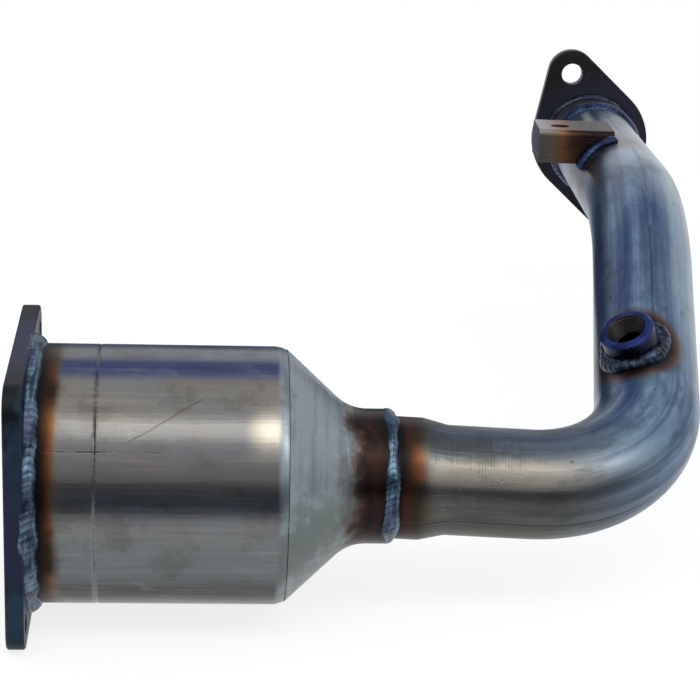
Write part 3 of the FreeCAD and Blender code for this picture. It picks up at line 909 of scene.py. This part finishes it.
@dataclass(frozen=True)
class Route:
    """The pipe's axis: three straight runs joined by two arcs."""

    corners: Tuple[Vector, ...] = (
        Vector((0.1510, 0.00015, 0.00025)),
        Vector((0.2868, -0.0029, -0.0044)),
        Vector((0.3106, 0.1852, 0.0712)),
        Vector((0.3232, 0.4231, 0.0480)),
    )
    radii: Tuple[float, float] = (0.0595, 0.1990)
    short_by: float = 0.002

    def legs(self) -> List[Leg]:
        """Lay out the runs and arcs.

        Returns:
            The runs and arcs in order.
        """
        legs: List[Leg] = []
        here = self.corners[0]
        forward = (self.corners[1] - here).normalized()
        aside = Vector((0.0, -1.0, 0.0))
        aside = (aside - forward * aside.dot(forward)).normalized()
        pose = Matrix((forward, aside, aside.cross(forward))).transposed()
        for corner, following, radius in zip(self.corners[1:], self.corners[2:], self.radii):
            forward = pose.col[0].copy()
            onward = (following - corner).normalized()
            turn = forward.angle(onward)
            stop = corner - forward * (radius * math.tan(turn / 2.0))
            legs.append(Leg((stop - here).length, here, pose))
            legs.append(Leg(radius * turn, stop, pose, forward.cross(onward).normalized(), radius))
            here, pose = legs[-1].locate(radius * turn)
        legs.append(Leg((self.corners[-1] - here).length - self.short_by, here, pose))
        return legs

    def locate(self, distance: float) -> Tuple[Vector, Matrix]:
        """Find a point of the pipe's axis.

        Args:
            distance: The length from the pipe's start.

        Returns:
            The point and its frame.
        """
        legs = self.legs()
        for leg in legs[:-1]:
            if distance <= leg.length:
                return leg.locate(distance)
            distance -= leg.length
        return legs[-1].locate(distance)

    def outlet(self) -> Matrix:
        """Place the outlet plate.

        Returns:
            Its frame, with X back along the pipe and Z up.
        """
        back = (self.corners[-2] - self.corners[-1]).normalized()
        aside = Z_AXIS.cross(back).normalized()
        turned = Matrix((back, aside, back.cross(aside))).transposed().to_4x4()
        return Matrix.Translation(self.corners[-1]) @ turned


# ---- pipe
@dataclass
class Pipe:
    """The bent pipe with its expanded end and the port under the boss."""

    route: Route
    radius: float = 0.0250
    wall: float = 0.0015
    swage_radius: float = 0.02775
    swage_length: float = 0.031
    swage_taper: float = 0.0115
    swell: float = 0.00006
    swell_pitch: float = 45.0
    port_radius: float = 0.0082
    bracket_bead: Vector = field(default_factory=lambda: Vector((0.156, -0.017, 0.019)))
    steps: int = 400
    sides: int = 84

    def outer(self, distance: float) -> float:
        """Read the pipe's outer radius.

        Args:
            distance: The length from the pipe's start.

        Returns:
            The radius there.
        """
        share = (distance - self.swage_length) / self.swage_taper
        share = min(max(share, 0.0), 1.0)
        return self.swage_radius + (self.radius - self.swage_radius) * share

    def build(self, boss: "SensorBoss") -> None:
        """Build the pipe and dress it.

        Args:
            boss: The boss, which gives the port's place.
        """
        total = sum(leg.length for leg in self.route.legs())

        def shape(share_round: float, share_along: float) -> Vector:
            """Find a point of the pipe's outer skin.

            Args:
                share_round: The share of the way round.
                share_along: The share of the length.

            Returns:
                The point.
            """
            distance = share_along * total
            centre, pose = self.route.locate(distance)
            turn = share_round * FULL_TURN
            cosine, sine = math.cos(turn), math.sin(turn)
            spot = Vector((cosine, sine, distance * self.swell_pitch))
            swell = self.swell * noise.noise(spot)
            way = pose.col[1] * cosine + pose.col[2] * sine
            return centre + way * (self.outer(distance) - self.swell + swell)

        pipe = wrapped(self.sides, self.steps, shape, lambda a, b: (a, b * total))
        solid = pipe.modifiers.new("wall", "SOLIDIFY")
        solid.thickness = self.wall
        solid.offset = -1.0
        cutter = added(
            bpy.ops.mesh.primitive_cylinder_add,
            vertices=64, radius=self.port_radius, depth=0.030,
            location=boss.foot(), rotation=boss.axis().to_track_quat("Z", "Y").to_euler(),
        )
        cut = pipe.modifiers.new("port", "BOOLEAN")
        cut.operation, cut.solver, cut.object = "DIFFERENCE", "EXACT", cutter
        only(pipe)
        for modifier in list(pipe.modifiers):
            bpy.ops.object.modifier_apply(modifier=modifier.name)
        bpy.data.objects.remove(cutter, do_unlink=True)
        smooth(pipe, 40.0)
        bracket = self.route.outlet() @ self.bracket_bead
        finish = PipeFinish().make(boss.foot(), bracket, self.route.corners[-1])
        hand_over(pipe, "exhaust_pipe_tube", finish, "exhaust_pipe")


# ---- beads
PathPoint = Tuple[Vector, Vector, Vector]
Path = Callable[[float], PathPoint]


@dataclass(frozen=True)
class Lump:
    """A stretch of a bead that stands wider and higher than the rest."""

    centre: float
    half: float
    wide: float
    high: float

    def share(self, along: float) -> float:
        """Read how strongly the lump acts.

        Args:
            along: The share of the path.

        Returns:
            The strength, between 0 and 1.
        """
        off = abs(along - self.centre)
        off = min(off, 1.0 - off) / self.half
        return 0.0 if off >= 1.0 else math.cos(off * math.pi / 2.0) ** 1.2


@dataclass(frozen=True)
class Bead:
    """A rippled weld bead laid along a path."""

    node: str
    path: Path
    length: float
    half_width: float
    height: float
    root: float
    tone: BeadTone
    pitch: float = 0.0024
    ripple: float = 0.12
    wander: float = 0.22
    closed: bool = True
    lumps: Tuple[Lump, ...] = ()
    lag: float = 0.6
    drift: float = 0.16
    steps: int = 6
    sides: int = 20

    def beats(self) -> int:
        """Return the number of ripples."""
        return max(3, round(self.length / self.pitch))

    def phase(self, along: float, across: float) -> float:
        """Return the ripple's count, which lags at the bead's edges."""
        return self.beats() * along + self.lag * math.cos(across * FULL_TURN) ** 2

    def shape(self, along: float, across: float) -> Vector:
        """Return the bead's surface point for two shares.

        Args:
            along: The share of the path.
            across: The share of the way round the bead.

        Returns:
            The point.
        """
        point, outward, aside = self.path(along)
        angle = across * FULL_TURN
        ridge = (0.5 - 0.5 * math.cos(self.phase(along, across) * FULL_TURN)) ** 0.6
        swell = 1.0 + self.wander * noise.noise(point * 110.0)
        drift = noise.noise(point * 60.0 + Vector((3.0, 1.0, 7.0)))
        drift = self.half_width * self.drift * drift
        wide = 1.0 + sum(lump.wide * lump.share(along) for lump in self.lumps)
        high = 1.0 + sum(lump.high * lump.share(along) for lump in self.lumps)
        half = self.half_width * swell * wide * (1.0 + 0.3 * self.ripple * ridge)
        tall = self.height * swell * high * (1.0 - self.ripple + self.ripple * ridge)
        root = self.root
        if not self.closed:
            left = min(along, 1.0 - along) * self.length / self.half_width
            left = math.sqrt(max(0.0, 1.0 - (1.0 - min(1.0, left)) ** 2))
            half, tall, root = half * left, tall * left, root * left
        rise = math.sin(angle)
        lift = tall * rise if rise > 0.0 else root * rise
        return point + aside * (half * math.cos(angle) + drift) + outward * lift

    def build(self) -> None:
        """Build the bead and dress it."""
        bead = wrapped(
            self.beats() * self.steps, self.sides, self.shape, lambda a, b: (self.phase(a, b), b)
        )
        finish = BeadFinish(self.tone).make()
        hand_over(bead, self.node + "_bead", finish, self.node)


def ring_path(
    pose: Matrix,
    station: float,
    radius: float,
    lean: float = 0.0,
    start: float = 0.0,
    sweep: float = 360.0,
) -> Path:
    """Return a path round an axis.

    Args:
        pose: The frame whose X is the axis.
        station: The ring's place along the axis.
        radius: The ring's radius.
        lean: How far the bead's face leans towards the axis, in degrees.
        start: Where the path starts, in degrees from -Y of the frame to +Z.
        sweep: How far it goes round, in degrees.

    Returns:
        The path.
    """
    rise = math.radians(lean)
    turned = pose.to_3x3()

    def path(share: float) -> PathPoint:
        """Follow the ring.

        Args:
            share: The share of the path.

        Returns:
            The point, the outward way and the way across.
        """
        turn = math.radians(start + sweep * share)
        way = Vector((0.0, -math.cos(turn), math.sin(turn)))
        outward = way * math.cos(rise) + X_AXIS * math.sin(rise)
        across = X_AXIS * math.cos(rise) - way * math.sin(rise)
        return pose @ (X_AXIS * station + way * radius), turned @ outward, turned @ across

    return path


# ---- sensor boss
@dataclass
class SensorBoss:
    """The threaded boss for the oxygen sensor, coped to the pipe."""

    route: Route
    radius: float = 0.0130
    top: float = 0.0350
    edge: float = 0.0012
    minor: float = 0.0082
    major: float = 0.0090
    mouth: float = 0.0094
    pitch: float = 0.0015
    pipe_radius: float = 0.0250
    after_elbow: float = 0.0189
    lean: float = 21.0
    sunk: float = 0.0002
    bead_reach: float = 0.0143
    bead_lean: float = 0.8
    thread_root: float = 1.15
    sides: int = 96
    rows: int = 156
    flank_row: float = 12.0
    edge_row: float = 16.0
    rim_row: float = 22.0
    bore_row: float = 28.0
    last_row: float = 148.0
    fade_rows: float = 6.0

    def frame(self) -> Tuple[Vector, Vector, Vector, Vector]:
        """Place the boss on the pipe.

        Returns:
            The point on the pipe's axis, and the ways out, aside and along.
        """
        legs = self.route.legs()
        at, pose = self.route.locate(legs[0].length + legs[1].length + self.after_elbow)
        along = pose.col[0].copy()
        side = along.cross(Z_AXIS).normalized()
        turn = math.radians(self.lean)
        out = (side.cross(along) * math.cos(turn) - side * math.sin(turn)).normalized()
        return at, out, along.cross(out), along

    def axis(self) -> Vector:
        """Return the boss's own direction."""
        return self.frame()[1]

    def foot(self) -> Vector:
        """Return the point of the pipe's skin on the boss's axis."""
        at, out, _, _ = self.frame()
        return at + out * self.pipe_radius

    def saddle(self, radius: float, turn: float) -> float:
        """Return the height of the pipe's skin above its axis."""
        return math.sqrt(self.pipe_radius**2 - (radius * math.sin(turn)) ** 2)

    def section(self, row: float, turn: float) -> Tuple[float, float]:
        """Return the radius and height of the profile at a row.

        Args:
            row: The row's number, from the outer foot over the rim and down the bore.
            turn: The angle round the boss.

        Returns:
            The radius and the height.
        """
        foot = self.saddle(self.radius, turn) - self.sunk
        stops = (
            (0.0, self.radius, foot),
            (self.flank_row, self.radius, self.top - self.edge),
            (self.edge_row, self.radius - self.edge, self.top),
            (self.rim_row, self.mouth, self.top),
            (self.bore_row, self.minor, self.top - self.edge),
            (self.last_row, self.minor, self.saddle(self.minor, turn) - self.sunk),
            (float(self.rows), self.radius, foot),
        )
        for (low, r0, z0), (high, r1, z1) in zip(stops, stops[1:]):
            if row <= high:
                share = (row - low) / (high - low)
                radius, height = r0 + (r1 - r0) * share, z0 + (z1 - z0) * share
                break
        if self.rim_row < row < self.last_row:
            beat = (self.top - height) / self.pitch - turn / FULL_TURN
            groove = 1.0 - abs(2.0 * (beat % 1.0) - 1.0)
            groove = min(1.0, groove * self.thread_root)
            radius = max(radius, self.minor + (self.major - self.minor) * groove)
            fade = (row - self.last_row) / self.fade_rows + 1.0
            radius += (self.minor - radius) * max(0.0, fade)
        return radius, height

    def build(self) -> None:
        """Build the boss and dress it."""
        at, out, side, along = self.frame()

        def shape(share_round: float, share_section: float) -> Vector:
            """Find a point of the boss's surface.

            Args:
                share_round: The share of the way round.
                share_section: The share of the profile's rows.

            Returns:
                The point.
            """
            turn = share_round * FULL_TURN
            radius, height = self.section(share_section * self.rows, turn)
            flat = side * math.sin(turn) + along * math.cos(turn)
            return at + out * height + flat * radius

        boss = wrapped(self.sides, self.rows, shape)
        smooth(boss, 28.0)
        finish = BossFinish(self.foot(), self.axis()).make()
        hand_over(boss, "sensor_boss_threaded", finish, "sensor_boss")

    def bead_path(self) -> Path:
        """Return the saddle path of the bead round the boss's foot.

        Returns:
            The path.
        """
        at, out, side, along = self.frame()
        reach = self.bead_reach

        def path(share: float) -> PathPoint:
            """Follow the saddle.

            Args:
                share: The share of the path.

            Returns:
                The point, the outward way and the way across.
            """
            turn = share * FULL_TURN
            cosine, sine = math.cos(turn), math.sin(turn)
            flat = side * sine + along * cosine
            height = self.saddle(reach, turn)
            skin = (out * height + side * (reach * sine)).normalized()
            outward = (skin + flat * self.bead_lean).normalized()
            dip = out * (reach * sine * cosine / height)
            tangent = (side * cosine - along * sine - dip).normalized()
            return at + out * height + flat * reach, outward, tangent.cross(outward)

        return path


# ---- brick
@dataclass
class Honeycomb:
    """The ceramic brick with its square channels open at both ends."""

    diameter: float = 0.1057
    start: float = 0.0160
    length: float = 0.0900
    edge: float = 0.0008
    skin: float = 0.0010
    depth: float = 0.0060
    pitch: float = 0.00127
    wall: float = 0.00020
    sides: int = 128

    def body(self) -> bpy.types.Object:
        """Turn the brick's body, recessed behind its channels' mouths.

        Returns:
            The body.
        """
        radius, tiny, chamfer = self.diameter / 2.0, 1e-6, self.edge * 0.5
        inner = radius - self.skin
        mouth = [
            (self.depth, tiny), (self.depth, inner), (0.0, inner),
            (0.0, radius - chamfer), (chamfer, radius),
        ]
        end = self.start + self.length
        stations = [(self.start + depth, wide) for depth, wide in mouth]
        stations += [(end - depth, wide) for depth, wide in reversed(mouth)]
        place, radius = stations[0]
        body = added(
            bpy.ops.mesh.primitive_circle_add,
            vertices=self.sides, radius=radius,
            location=(place, 0, 0), rotation=(0, math.pi / 2, 0),
        )
        apply_place(body)
        bpy.ops.object.mode_set(mode="EDIT")
        bpy.ops.mesh.select_all(action="SELECT")
        for at, wide in stations[1:] + stations[:1]:
            bpy.ops.mesh.extrude_region_move(TRANSFORM_OT_translate={"value": (at - place, 0, 0)})
            size = wide / radius
            bpy.ops.transform.resize(value=(1.0, size, size), center_override=(at, 0, 0))
            place, radius = at, wide
        bpy.ops.object.mode_set(mode="OBJECT")
        tidy_shell(body, 2e-6)
        smooth(body, 32.0)
        return body

    def walls(self) -> bpy.types.Object:
        """Add the crossing walls between the channels at both ends.

        Returns:
            The walls, as one object.
        """
        radius = self.diameter / 2.0 - self.skin
        cube = bpy.ops.mesh.primitive_cube_add
        cells = added(cube, size=1.0, location=(0, 0, 0), scale=(1e-4, 1e-4, 1e-4))
        only(cells)
        bpy.ops.object.mode_set(mode="EDIT")
        bpy.ops.mesh.select_all(action="SELECT")
        bpy.ops.mesh.delete(type="VERT")
        count = int(radius / self.pitch)
        inset = self.depth / 2.0
        for middle in (self.start + inset, self.start + self.length - inset):
            for index in range(-count, count + 1):
                off = index * self.pitch
                chord = 2.0 * math.sqrt(radius * radius - off * off)
                cube(size=1.0, location=(middle, off, 0.0), scale=(self.depth, self.wall, chord))
                short = self.depth - 4e-5
                cube(size=1.0, location=(middle, 0.0, off), scale=(short, chord, self.wall))
        bpy.ops.object.mode_set(mode="OBJECT")
        apply_place(cells)
        return cells

    def build(self) -> None:
        """Build the brick and dress it."""
        body, cells = self.body(), self.walls()
        only(body)
        cells.select_set(True)
        bpy.ops.object.join()
        ends = (self.start, self.start + self.length)
        mouths = (*ends, self.depth, self.diameter / 2.0 - self.skin)
        pale, dark = (0.44, 0.36, 0.26), (0.30, 0.23, 0.155)
        finish = CeramicFinish("brick_ceramic", pale, dark, 700.0, mouths=mouths).make()
        hand_over(body, "catalyst_brick_cells", finish, "catalyst_brick")


# ---- dressed nodes
@dataclass
class PlainNodes:
    """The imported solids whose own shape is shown."""

    route: Route

    def finishes(self) -> Dict[str, bpy.types.Material]:
        """Make the finishes.

        Returns:
            The material of each shown solid.
        """
        outlet = self.route.outlet()
        end = outlet.translation
        back, aside, up = outlet.to_3x3().col
        plate = PlateFinish(
            "outlet_plate", centre=end, axis=back, ring=0.030, reach=0.016,
            dark=(0.012, 0.014, 0.013), sheen=(0.019, 0.022, 0.022), glow=(0.026, 0.026, 0.048),
        )
        face = PlateFinish(
            "inlet_plate", centre=Vector(), axis=X_AXIS, ring=0.0615, reach=0.012,
            dark=(0.006, 0.010, 0.014), sheen=(0.017, 0.038, 0.064), glow=(0.024, 0.028, 0.066),
        )
        sleeve = PlateFinish(
            "sleeve_steel", centre=end, axis=back, ring=0.004, reach=0.012,
            dark=(0.040, 0.042, 0.054), sheen=(0.095, 0.095, 0.120), glow=(0.050, 0.042, 0.105),
        )
        mat = CeramicFinish("mat_fibre", (0.55, 0.53, 0.49), (0.38, 0.36, 0.33), 900.0, fibres=True)
        return {
            "converter_shell": CanFinish().make(),
            "inlet_flange": face.make(),
            "outlet_flange": plate.make(),
            "outlet_sleeve": sleeve.make(),
            "support_bracket": BracketFinish(-aside, up, end, reach=0.047, inner=0.021).make(),
            "support_mat": mat.make(),
        }

    def build(self) -> None:
        """Put each finish on its solid."""
        for node, finish in self.finishes().items():
            for slot in frame["nodes"][node].material_slots:
                slot.material = finish
            LOG.info("%s: dressed", node)


# ---- studio
@dataclass
class Studio:
    """The camera, the pale floor, the lamps and the cards that the metal shows."""

    lens: float = 114.75
    eye: Vector = field(default_factory=lambda: Vector((0.0826, -0.9253, 0.3995)))
    right: Vector = field(default_factory=lambda: Vector((0.9977, -0.05706, 0.03654)))
    down: Vector = field(default_factory=lambda: Vector((0.01465, -0.3449, -0.93852)))
    floor: float = -0.0620
    floor_glow: float = 1.13
    floor_share: float = 0.72
    floor_tone: Colour = (0.80, 0.80, 0.80)
    white: Colour = (1.0, 1.0, 1.0)
    fill: Colour = (0.72, 0.76, 0.82)

    def camera(self) -> None:
        """Create the camera."""
        data = bpy.data.cameras.new("camera")
        data.lens, data.sensor_width = self.lens, 36.0
        data.clip_start, data.clip_end = 0.05, 60.0
        camera = bpy.data.objects.new("camera", data)
        bpy.context.scene.collection.objects.link(camera)
        right = self.right.normalized()
        forward = right.cross(self.down).normalized()
        turned = Matrix((right, right.cross(forward), -forward)).transposed()
        camera.matrix_world = Matrix.Translation(self.eye) @ turned.to_4x4()
        bpy.context.scene.camera = camera

    def sky(self) -> None:
        """Fill the world: white behind the object and a plain level elsewhere."""
        world = bpy.data.worlds.new("studio")
        bpy.context.scene.world = world
        net = Net(world, "ShaderNodeOutputWorld")
        rays = net.node("ShaderNodeLightPath", result="Is Transmission Ray")
        shown = net.math("MAXIMUM", net.seen(), rays)
        colour = net.blend(shown, self.fill, self.white)
        net.close(net.node("ShaderNodeBackground", {0: colour}))

    def ground(self) -> None:
        """Lay the pale floor that keeps the object's shadow."""
        place = (0.15, 0.2, self.floor)
        floor = added(bpy.ops.mesh.primitive_plane_add, size=24.0, location=place)
        floor.name = "studio_floor"
        material = bpy.data.materials.new("studio_floor")
        net = Net(material)
        matt = net.node("ShaderNodeBsdfDiffuse", {0: self.floor_tone})
        glow = net.node("ShaderNodeEmission", {0: self.white, 1: self.floor_glow})
        share = net.seen() * self.floor_share
        net.close(net.node("ShaderNodeMixShader", {0: share, 1: matt, 2: glow}))
        floor.data.materials.append(material)

    def card(
        self, name: str, centre: Vector, size: Tuple[float, float], colour: Colour, target: Vector
    ) -> None:
        """Stand a card that only polished metal shows.

        Args:
            name: The card's name.
            centre: Its middle.
            size: Its width along X and its height.
            colour: What it shows.
            target: The point that it faces.
        """
        card = added(bpy.ops.mesh.primitive_plane_add, size=1.0, location=centre)
        card.name = name
        card.scale = (*size, 1.0)
        card.rotation_euler = (target - centre).to_track_quat("Z", "Y").to_euler()
        material = bpy.data.materials.new(name)
        net = Net(material)
        net.close(net.node("ShaderNodeEmission", {0: colour}))
        card.data.materials.append(material)
        card.visible_camera = card.visible_diffuse = False
        card.visible_shadow = card.visible_transmission = False

    def lamp(
        self, name: str, place: Vector, size: Tuple[float, float], power: float, colour: Colour
    ) -> None:
        """Hang a soft lamp that faces the object.

        Args:
            name: The lamp's name.
            place: Where it hangs.
            size: Its width and height.
            power: Its power in watts.
            colour: Its colour.
        """
        data = bpy.data.lights.new(name, "AREA")
        data.shape = "RECTANGLE"
        data.size, data.size_y = size
        data.energy = power
        data.color = colour
        lamp = bpy.data.objects.new(name, data)
        bpy.context.scene.collection.objects.link(lamp)
        middle = Vector((0.17, 0.12, 0.02))
        turn = (middle - place).to_track_quat("-Z", "Y")
        lamp.matrix_world = Matrix.Translation(place) @ turn.to_matrix().to_4x4()

    def build(self) -> None:
        """Set the whole studio up."""
        self.camera()
        self.sky()
        self.ground()
        level, can = Vector((0.15, 0.0, -0.010)), Vector((-0.10, 0.0, 0.050))
        for name, centre, size, colour, target in (
            ("front", (0.15, -0.30, -0.010), (1.4, 0.100), (0.105, 0.130, 0.170), level),
            ("soft", (0.15, -0.30, 0.064), (1.4, 0.048), (0.15, 0.15, 0.17), level),
            ("left", (-0.10, 0.50, 0.050), (0.70, 0.220), (0.060, 0.092, 0.155), can),
            ("over", (0.15, 1.38, 1.44), (3.4, 0.55), (0.28, 0.31, 0.56), level),
        ):
            self.card("card_" + name, Vector(centre), size, colour, target)
        self.lamp("key", Vector((0.05, -0.80, 1.55)), (1.8, 0.50), 10.0, (1.0, 0.93, 0.82))
        self.lamp("spark", Vector((1.05, -0.55, 0.95)), (0.30, 0.70), 3.0, (0.92, 0.97, 1.0))
        view = bpy.context.scene.view_settings
        view.view_transform = "Standard"
        LOG.info("studio: ready")


# ---- converter
@dataclass
class Converter:
    """The whole object, built in order."""

    route: Route = field(default_factory=Route)

    def beads(self, boss: SensorBoss) -> List[Bead]:
        """Lay out every weld bead.

        Args:
            boss: The boss, which gives its own bead's path.

        Returns:
            The beads.
        """
        can, outlet = Matrix.Identity(4), self.route.outlet()
        silver, steel, navy = BeadTone.SILVER, BeadTone.STEEL, BeadTone.NAVY
        inlet = Bead(
            "inlet_flange_weld", ring_path(can, 0.0098, 0.0590, 36.0), tone=silver,
            length=0.370, half_width=0.0042, height=0.0024, root=0.0016,
            pitch=0.0034, ripple=0.10, wander=0.40,
            lumps=(
                Lump(0.10, 0.03, 0.20, 0.25), Lump(0.97, 0.04, 0.15, 0.2),
                Lump(0.60, 0.04, 0.2, 0.3),
            ),
        )
        neck = Bead(
            "neck_weld", ring_path(can, 0.1674, 0.0291, 24.0), tone=silver,
            length=0.183, half_width=0.0024, height=0.0014, root=0.0016,
            pitch=0.0030, ripple=0.07, wander=0.30,
            lumps=(
                Lump(0.985, 0.135, 0.80, 0.70), Lump(0.212, 0.040, 0.55, 0.90),
                Lump(0.40, 0.09, 0.50, 0.6), Lump(0.68, 0.12, 0.60, 0.6),
            ),
        )
        saddle = Bead(
            "sensor_boss_weld", boss.bead_path(), tone=steel,
            length=0.098, half_width=0.0034, height=0.0027, root=0.0016,
            pitch=0.0036, wander=0.60,
            lumps=(
                Lump(0.55, 0.07, 0.35, 0.6), Lump(0.18, 0.06, 0.3, 0.5),
                Lump(0.84, 0.07, 0.3, 0.5),
            ),
        )
        sleeve = Bead(
            "outlet_sleeve_weld", ring_path(outlet, 0.0315, 0.0258, 28.0), tone=navy,
            length=0.162, half_width=0.0036, height=0.0019, root=0.0012,
            pitch=0.0028, wander=0.30,
        )
        plate = Bead(
            "outlet_flange_weld", ring_path(outlet, 0.0005, 0.0274, 42.0), tone=steel,
            length=0.172, half_width=0.0024, height=0.0014, root=0.0010,
            pitch=0.0031, ripple=0.05, wander=0.30,
        )
        front, rear = (
            Bead(
                node, ring_path(outlet, station, 0.0252, start=83.0, sweep=-65.0), tone=navy,
                length=0.0290, half_width=half, height=height, root=0.0014,
                pitch=0.0031, ripple=0.09, closed=False, sides=24,
            )
            for node, station, half, height in (
                ("bracket_front_weld", 0.1572, 0.0046, 0.0036),
                ("bracket_rear_weld", 0.1168, 0.0040, 0.0030),
            )
        )
        return [inlet, neck, saddle, sleeve, plate, front, rear]

    def build(self) -> None:
        """Build every piece."""
        boss = SensorBoss(self.route)
        PlainNodes(self.route).build()
        Pipe(self.route).build(boss)
        boss.build()
        for bead in self.beads(boss):
            bead.build()
        Honeycomb().build()


def main() -> None:
    """Build the studio and the object, and log each piece's face count."""
    logging.basicConfig(level=logging.INFO, format="%(name)s: %(message)s")
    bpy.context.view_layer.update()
    Studio().build()
    Converter().build()
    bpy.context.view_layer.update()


if __name__ == "__main__":
    main()
